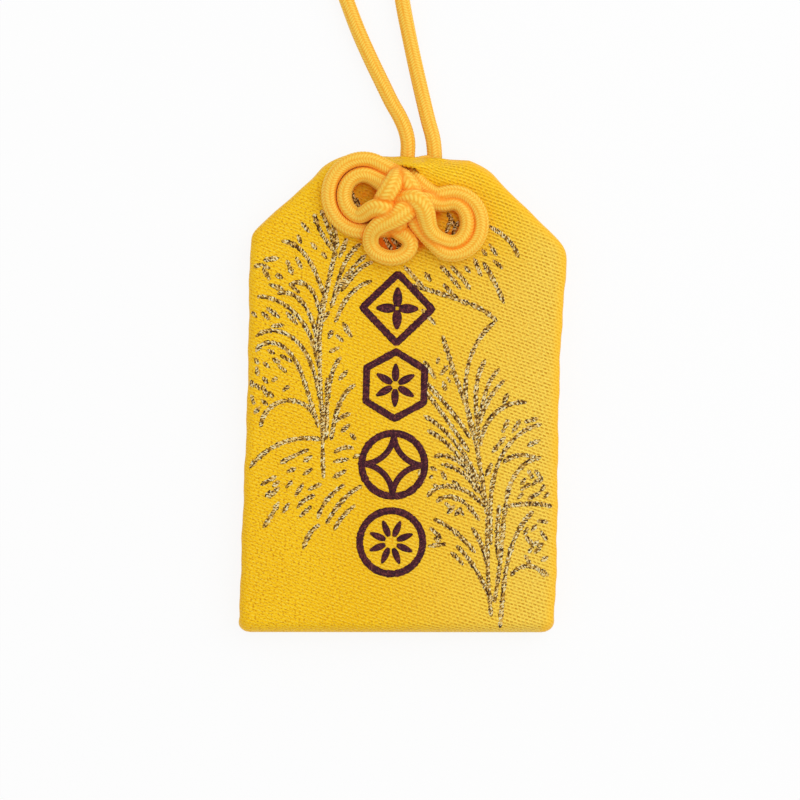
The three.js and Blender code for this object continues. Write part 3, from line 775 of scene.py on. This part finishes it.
GRASS_WIDTH = 0.8
GRASS_LIFT = 0.1
GRASS_TIP_RUN = 0.8
GRASS_TIP_START = 0.06
FIGURE_WIDTH = 1.25
FIGURE_LIFT = 0.17
THREAD_STEP = 0.24
THREAD_SHAPE = [(1, -0.6), (0.65, 0.6), (0, 1), (-0.65, 0.6), (-1, -0.6), (0, -0.8)]
THREAD_WOBBLE = 0.17
FIGURE_WOBBLE = 0.06
FIGURE_COLUMN_X = -1.0
FIGURE_HEIGHTS = (12.3, 1.3, -10.1, -21.2)
FIGURE_REACH = 4.7
ROUND_REACH = FIGURE_REACH * 0.96
ARC_WIDTH = FIGURE_WIDTH * 0.85
ARC_POINTS = 30
BAND_UV_GAP = 3.7
PETAL_SPAN = (0.06, 0.94)
PETAL_LEAN = 0.8
PETAL_FULLNESS = 0.7


def blade_line(x, y, heading, length, turn=0.0, late=1.0):
    """A line that leaves a point at a heading in degrees and turns over its length, at first slowly where
    late is above 1."""
    count = max(4, round(length / THREAD_STEP))
    share = (np.arange(count) + 0.5) / count
    angle = np.radians(heading + turn * share**late)
    steps = np.stack([np.cos(angle), np.sin(angle)], 1) * length / count
    return np.vstack([[(x, y)], (x, y) + np.cumsum(steps, axis=0)])


def laid_thread(line, widths, lift, closed=False):
    """A band of threads laid on the front cloth along a line: six points round it, the middle one highest
    and the outer ones just under the cloth's face. Gives its points, faces and UV map."""
    tangent = np.roll(line, -1, 0) - np.roll(line, 1, 0) if closed else np.gradient(line, axis=0)
    tangent = unit(tangent)
    across = np.stack([-tangent[:, 1], tangent[:, 0]], 1)
    side, rise = np.array(THREAD_SHAPE).T
    offset = widths[:, None] / 2 * side
    x, y = np.moveaxis(line[:, None] + across[:, None] * offset[..., None], -1, 0)
    height = front_height(x - fuller(x, y), y - lean(x, y)) + lift * rise
    points = np.stack([x, y, height], -1).reshape(-1, 3)
    sides = len(THREAD_SHAPE)
    along = np.broadcast_to(arc_length(line)[:, None], x.shape)
    uv = np.stack([along, offset], -1).reshape(-1, 2)
    if closed:
        return points, (grid_faces(len(line) + 1, sides, closed=True) % len(points)).tolist(), uv
    last = len(points) - sides
    faces = grid_faces(len(line), sides, closed=True).tolist()
    return points, faces + [list(range(sides))[::-1], list(range(last, last + sides))], uv


def lay_threads(name, bands, finish):
    """Puts many bands into one piece."""
    points, faces, uv, count = [], [], [], 0
    for band_points, band_faces, band_uv in bands:
        faces += [[count + corner for corner in face] for face in band_faces]
        uv.append(band_uv + (len(uv) * BAND_UV_GAP, 0))
        points.append(band_points)
        count += len(band_points)
    return put_mesh(name, np.vstack(points), faces, finish, np.vstack(uv))


def grass_bands():
    """Every blade and stroke of the grass, a little ragged in width and rounded off at both ends."""
    chance = np.random.default_rng(7)
    for row in GRASS_BLADES + GRASS_DASHES:
        line = blade_line(*row)
        along = arc_length(line)
        tip = quarter_roll(np.minimum(along, along[-1] - along) / GRASS_TIP_RUN + GRASS_TIP_START)
        ragged = 1 + THREAD_WOBBLE * chance.normal(size=len(line))
        yield laid_thread(line, GRASS_WIDTH * tip * ragged, GRASS_LIFT)


def ring_line(centre, corners, reach, turn=0.0, bend=0.0):
    """A closed line round a centre with a number of corners: bend 0 gives straight sides, 1 a circle."""
    count = round(TAU * reach / THREAD_STEP)
    angle = np.arange(count) / count * TAU
    sector = TAU / corners
    from_middle = (angle % sector) - sector / 2
    straight = math.cos(sector / 2) / np.cos(from_middle)
    radius = reach * (straight + (1 - straight) * bend)
    angle = angle + math.radians(turn)
    return np.stack([centre[0] + radius * np.cos(angle), centre[1] + radius * np.sin(angle)], 1)


def petal_line(centre, heading, start, end):
    """A straight line along a heading, from one distance from the centre to another."""
    way = np.linspace(start, end, max(6, round((end - start) / THREAD_STEP)))
    angle = math.radians(heading)
    return np.stack([centre[0] + way * math.cos(angle), centre[1] + way * math.sin(angle)], 1)


def figure_bands():
    """A column of four plain geometric figures: a lozenge with a four-petal flower, a hexagon with a
    six-petal flower, a ring crossed by four arcs of its neighbours, and a ring with an eight-petal
    flower."""
    centres = [(FIGURE_COLUMN_X, y) for y in FIGURE_HEIGHTS]
    rings = [
        ring_line(centres[0], 4, FIGURE_REACH * 1.06), ring_line(centres[1], 6, FIGURE_REACH * 1.02, 30),
        ring_line(centres[2], 4, ROUND_REACH, 0, 1), ring_line(centres[3], 8, ROUND_REACH, 0, 1),
    ]
    flowers = (
        (centres[0], 4, 0, 0.25, 3.0, 1.7), (centres[1], 6, 30, 0.55, 3.1, 1.35),
        (centres[3], 8, 22.5, 0.9, 3.3, 1.2),
    )
    chance = np.random.default_rng(11)
    for line in rings:
        ragged = 1 + FIGURE_WOBBLE * chance.normal(size=len(line))
        yield laid_thread(line, FIGURE_WIDTH * ragged, FIGURE_LIFT, closed=True)
    for centre, petals, turn, start, end, width in flowers:
        for k in range(petals):
            line = petal_line(centre, turn + k * 360 / petals, start, end)
            share = np.linspace(*PETAL_SPAN, len(line))
            swell = np.sin(np.pi * share**PETAL_LEAN) ** PETAL_FULLNESS
            yield laid_thread(line, width * swell, FIGURE_LIFT)
    for k in range(4):
        corner = math.radians(45 + 90 * k)
        outward = np.array([math.cos(corner), math.sin(corner)])
        far = np.array(centres[2]) + ROUND_REACH * math.sqrt(2) * outward
        angle = corner + math.pi + np.linspace(-1, 1, ARC_POINTS) * math.pi / 4
        line = far + ROUND_REACH * np.stack([np.cos(angle), np.sin(angle)], 1)
        yield laid_thread(line, np.full(len(line), ARC_WIDTH), FIGURE_LIFT)


# Finishes

WEAVE_PITCH = 0.505
WEAVE_SLOPE = 0.33
FLOAT_LENGTH = 0.602
FLOAT_SHIFT = 0.718
FLOAT_JITTER = 0.08
FLOAT_END = 20
SLIT_PLACE, SLIT_NARROWNESS = -0.12, 9
CREST_PLACE, CREST_NARROWNESS = 0.28, 16


WEAVE_SWAY = 0.3
RIBBED_FROM = (-20.0, 18.0)
# Where the painted sheen on the right side grows, and where it is cut back beside the knot.
PAINTED_SHEEN_FROM = (-6.0, 26.0)
LESS_SHEEN_FROM = (14.0, 27.0)
LESS_SHEEN_UNTIL = (12.0, 22.0)

CLOTH_LOW, CLOTH_HIGH = (251, 192, 6), (255, 200, 14)
# Colour of the painted sheen.
CLOTH_PAINTED_SHEEN = (255, 222, 104)
FILAMENT_LIGHT = (255, 212, 50)
# Painted highlight on the lit side of each float.
CREST_PAINTED_HIGHLIGHT = (255, 230, 92)
# Dark slit beside each float: partly the weft and binding points, partly painted shade between floats.
SLIT_WEFT_AND_SHADE = (192, 126, 0)
GRAIN_DARK = (196, 126, 0)
# Light grain: the second colour is used where the painted sheen lies.
GRAIN_LIGHT_LEFT, GRAIN_LIGHT_IN_SHEEN = (255, 216, 26), (255, 234, 110)
# Yellow where the cloth rolls over at its sides: weft colour and painted light.
ROLL_WEFT_AND_LIGHT = (255, 192, 22)
# Painted orange bounce light from the cord on the cloth between its strands.
PAINTED_BOUNCE_ORANGE = (253, 120, 2)

# Shaded and lit copies of the silk: painted shade between stitches, painted highlight on their ridges.
CORD_SHADED_SILK, CORD_LIT_SILK = (250, 173, 34), (255, 217, 88)
CORD_FIBRE = (255, 224, 134)
# Painted orange shade and bounce light where strands touch.
CORD_CREVICE_SHADE = (252, 136, 10)


def brocade_finish():
    """Satin ground of a brocade: rows of short floats, each row shifted against the last so that they line
    up in slanted ribs. Each float is a lens of its own strength, with a dark slit on one side, partly the
    weft and partly painted shade, and a painted highlight on the other, with fine filaments along it and a
    fine grain over all. To the right the ribs are stronger and a painted sheen lightens the cloth, except
    close to the knot. Where it rolls over at its sides it is plainer and a richer yellow, partly the weft
    at the fold and partly painted light, stronger on the right. Between the strands of the knot it is
    orange with painted bounce light."""
    f = Finish("brocade")
    u, v, _ = f.cloth_place()
    slanted = v + u * WEAVE_SLOPE
    row = (slanted + f.noise(f.join(u, v), 0.35, 2.0) * WEAVE_SWAY) / WEAVE_PITCH
    place = u / FLOAT_LENGTH - row.floor() * FLOAT_SHIFT + f.cell(row, row * 0.0) * FLOAT_JITTER
    strength = f.cell(place, row) * 0.5 + 0.5
    across, along = row.fract() - 0.5, place.fract() - 0.5
    ends = along * along * along * along * FLOAT_END
    off_slit, off_crest = across - SLIT_PLACE, across - CREST_PLACE
    slit = 1 - (off_slit * off_slit * SLIT_NARROWNESS + ends).step(0.1, 1.0)
    crest = 1 - (off_crest * off_crest * CREST_NARROWNESS + ends).step(0.1, 1.0)
    filament = f.noise(f.join(u * 1.5, v * 16.0 + u * 3.0), 1.0, 2.0)
    cloud = f.noise(f.join(u, v), 0.09, 3.0)
    grain = f.noise(f.join(u * 0.6, slanted), 5.0, 1.0)
    # Painted sheen: lighter cloth towards the right, with less of it beside the knot.
    beside_knot = v.step(*LESS_SHEEN_FROM) * (1 - u.step(*LESS_SHEEN_UNTIL))
    painted_sheen = u.step(*PAINTED_SHEEN_FROM) * (1 - beside_knot * 0.85)
    ribbed = u.step(*RIBBED_FROM) * 0.84 + 0.03
    ground = f.blend(cloud.step(0.35, 0.7), CLOTH_LOW, CLOTH_HIGH)
    ground = f.blend(painted_sheen * 0.6, ground, CLOTH_PAINTED_SHEEN)
    ground = f.blend((filament - 0.4) * 0.5, ground, FILAMENT_LIGHT)
    # Painted highlight along the crest of each float.
    ground = f.blend(crest * strength * 0.6, ground, CREST_PAINTED_HIGHLIGHT)
    # Dark slit beside each float: partly the weft, partly painted shade; stronger to the right.
    ground = f.blend(slit * strength * ribbed, ground, SLIT_WEFT_AND_SHADE)
    ground = f.blend((grain - 0.5) * (4.2 - ribbed * 3), ground, GRAIN_DARK)
    ground = f.blend((0.5 - grain) * 2.5, ground, f.blend(painted_sheen, GRAIN_LIGHT_LEFT, GRAIN_LIGHT_IN_SHEEN))
    # Sides where the cloth rolls over: weft colour and painted light.
    ground = f.blend(f.mark("side"), ground, ROLL_WEFT_AND_LIGHT)
    # Painted orange bounce light between the knot's strands.
    ground = f.blend(f.mark("glow") * 0.88, ground, PAINTED_BOUNCE_ORANGE)
    height = (1 - slit) * 0.7 + crest * 0.2 + filament * 0.1
    f.set(Base_Color=ground, Roughness=0.5 - crest * 0.1, Normal=f.bump(height, 0.05, 0.6))
    return f.set(Specular_IOR_Level=0.1, Sheen_Weight=0.02, Sheen_Roughness=0.4)


def cord_finish():
    """Silky braided cord with fine fibres: a painted highlight on the ridge of each stitch, painted shade
    between them, and painted orange shade and bounce light where strands touch."""
    f = Finish("cord")
    column, along, _ = f.cloth_place()
    ridge = f.mark("ridge")
    fibre = f.noise(f.join(column * 60.0, along * 3.0 + column * 8.0), 1.0, 2.0)
    # Painted highlight on each stitch's ridge and painted shade between stitches.
    silk = f.blend(ridge.step(0.3, 1.0), CORD_SHADED_SILK, CORD_LIT_SILK)
    silk = f.blend((fibre - 0.4) * 0.6, silk, CORD_FIBRE)
    # Painted orange shade and bounce light where strands touch.
    silk = f.blend(f.mark("deep") * 0.62, silk, CORD_CREVICE_SHADE)
    f.set(Base_Color=silk, Roughness=0.6 - ridge * 0.12, Normal=f.bump(fibre, 0.03, 0.5))
    return f.set(Specular_IOR_Level=0.16, Sheen_Weight=0.06, Sheen_Roughness=0.35)


STITCH_WIDTH = 0.17
STITCH_LENGTH = 0.21
STITCH_LEAN = 0.6


def thread_finish(name, tones):
    """Woven figure threads: slanted stitches across the band, each broken into lengths of a tone of their
    own, round in section and with painted shade between one another."""
    f = Finish(name)
    along, across, _ = f.cloth_place()
    stitch = (along + across * STITCH_LEAN) / STITCH_WIDTH
    length = across / STITCH_LENGTH + f.cell(stitch, stitch * 0.0)
    speck = f.cell(stitch, length)
    fine = f.noise(f.join(along, across), 9.0, 2.0)
    off_middle = stitch.fract() * 2 - 1
    full = 1 - off_middle * off_middle
    tone = speck * 0.8 + fine * 0.2
    # Painted shade towards each stitch's edges, where it meets the next.
    colour = f.blend((1 - full) * 0.25, f.ramp(tone, tones), tones[0][1])
    height = full * 0.7 + speck * 0.3
    f.set(Base_Color=colour, Roughness=0.5 - full * 0.15, Normal=f.bump(height, 0.06, 0.7))
    return f.set(Specular_IOR_Level=0.15)


# Brown to gold tones of the metal thread; the cream end is painted glints of the metal.
GOLD_TONES_AND_GLINTS = [
    (0.22, (64, 32, 0)), (0.38, (138, 92, 12)), (0.52, (202, 154, 58)), (0.67, (244, 202, 108)),
    (0.84, (255, 242, 186)),
]
PLUM_TONES = [(0.2, (46, 10, 26)), (0.5, (68, 18, 36)), (0.75, (92, 34, 40)), (0.95, (130, 70, 66))]


def plain_finish(name, low, high, scale, roughness):
    """A quiet surface with a grain between two close colours."""
    f = Finish(name)
    x, y, z = f.object_place()
    grain = f.noise(f.join(x * scale[0], y * scale[1], z), 1.0, 4.0)
    f.set(Base_Color=f.blend(grain.step(0.3, 0.7), low, high), Roughness=grain * 0.2 + roughness)
    return f.set(Normal=f.bump(grain, 0.03, 0.4))


INNER_FINISHES = {
    "interlining": ((226, 218, 198), (242, 236, 222), (2.5, 2.5), 0.8),
    "seam_thread": ((206, 148, 24), (232, 180, 48), (9.0, 3.0), 0.6),
    "card": ((202, 188, 158), (220, 208, 182), (1.2, 1.6), 0.8),
    "paper": ((236, 234, 226), (248, 247, 243), (1.5, 0.8), 0.75),
    "slip_wood": ((196, 154, 100), (220, 182, 130), (2.4, 0.15), 0.55),
}


def inner_finishes(brocade):
    """Finishes for the CAD pieces that stay, each by its slot in the record."""
    made = {slot: plain_finish(slot, *values) for slot, values in INNER_FINISHES.items()}
    made["brocade"] = brocade
    for row in frame["record"]["subparts"]:
        node = frame["nodes"][row["node"]]
        if not node.hide_render:
            node.data.materials.clear()
            node.data.materials.append(made[row["material_slot"]].material)


# Camera, light and floor

def place_camera():
    data = bpy.data.cameras.new("camera")
    data.sensor_width = 36.0
    data.lens = data.sensor_width * (CAMERA_HEIGHT - FRONT_Z) / PHOTO_SIDE_MM
    data.clip_start, data.clip_end = 0.01, 20.0
    camera = bpy.data.objects.new("camera", data)
    camera.location = (CAMERA_CENTRE[0] * MM, CAMERA_CENTRE[1] * MM, CAMERA_HEIGHT * MM)
    camera.rotation_euler = (0, 0, CAMERA_TURN)
    bpy.context.scene.collection.objects.link(camera)
    bpy.context.scene.camera = camera


LAMP_PLACE = (0.28, 0.22, 0.42)
LAMP_SIZE = 0.6
LAMP_POWER = 1.15


def place_lamp():
    """A square soft box that faces the charm."""
    data = bpy.data.lights.new("key", "AREA")
    data.size, data.energy = LAMP_SIZE, LAMP_POWER
    lamp = bpy.data.objects.new("key", data)
    lamp.location = LAMP_PLACE
    lamp.rotation_euler = (-lamp.location).to_track_quat("-Z", "Y").to_euler()
    bpy.context.scene.collection.objects.link(lamp)


def seen_directly(shading):
    """1 for a ray that comes straight from the camera or through a reflection or glass."""
    names = ("Is Camera Ray", "Is Glossy Ray", "Is Transmission Ray")
    camera, glossy, through = (shading.node("ShaderNodeLightPath", output=name) for name in names)
    return camera.larger(glossy).larger(through)


FLOOR_TONE = (244, 244, 244)
FLOOR_GLOW = 0.875
FLOOR_REACH = 3000
FLOOR_DROP = 0.05


def lay_floor():
    """A white table that keeps a faint shadow: it shows mostly as plain white and partly as lit paper."""
    finish = Finish("table").set(Base_Color=linear(FLOOR_TONE), Roughness=0.9, Specular_IOR_Level=0.0)
    paper = Value(finish, finish.surface.outputs[0])
    glow = finish.node("ShaderNodeEmission", None, {"Color": WHITE})
    finish.show("Material Output", seen_directly(finish) * FLOOR_GLOW, paper, glow)
    corners = np.array([(-1, -1, 0), (1, -1, 0), (1, 1, 0), (-1, 1, 0)], float) * FLOOR_REACH
    floor = put_mesh("floor", corners - (0, 0, FLOOR_DROP), [(0, 1, 2, 3)], finish)
    floor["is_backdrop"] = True


WORLD_LIGHT = 0.76


def light_room():
    """An even light from all around that is itself seen as plain white, and one soft box."""
    world = bpy.data.worlds.new("room")
    bpy.context.scene.world = world
    world.use_nodes = True
    room = Shading(world.node_tree)
    around = world.node_tree.nodes["Background"]
    around.inputs["Color"].default_value = WHITE
    around.inputs["Strength"].default_value = WORLD_LIGHT
    white = room.node("ShaderNodeBackground", None, {"Color": WHITE})
    room.show("World Output", seen_directly(room), Value(room, around.outputs[0]), white)
    place_lamp()
    bpy.context.scene.view_settings.view_transform = "Standard"


# The charm

place_camera()
silk_cord = cord_finish()
brocade = brocade_finish()

loop_line = hanging_line()
loop = braided_cord("hanging_cord", loop_line, np.full(len(loop_line), CORD_RADIUS), silk_cord)
lead_height = LEAD_Z * MM
bend_start, bend_end = (0, CORD_EXIT_Y * MM, lead_height), (0, CORD_BEND_END_Y * MM, lead_height)
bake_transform(loop)
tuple(bend_start)
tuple(bend_end)
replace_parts(loop, "hanging_loop")

knot_way = knot_line()
knot = braided_cord("knot", knot_way, knot_radius(knot_way), silk_cord)
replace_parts(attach(knot, "pouch"), "knot_cord")

pouch = pouch_strip("pouch_brocade", knot_way, brocade)
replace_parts(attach(pouch, "pouch"), "front_cloth", "back_cloth")

grass = lay_threads("gold_grass", grass_bands(), thread_finish("gold_thread", GOLD_TONES_AND_GLINTS))
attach(grass, "pouch")
figures = lay_threads("plum_figures", figure_bands(), thread_finish("plum_thread", PLUM_TONES))
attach(figures, "pouch")

inner_finishes(brocade)
lay_floor()
light_room()

boxes = {"cad": cad_box, "visual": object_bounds()}
{name: [list(corner) for corner in box] for name, box in boxes.items()}
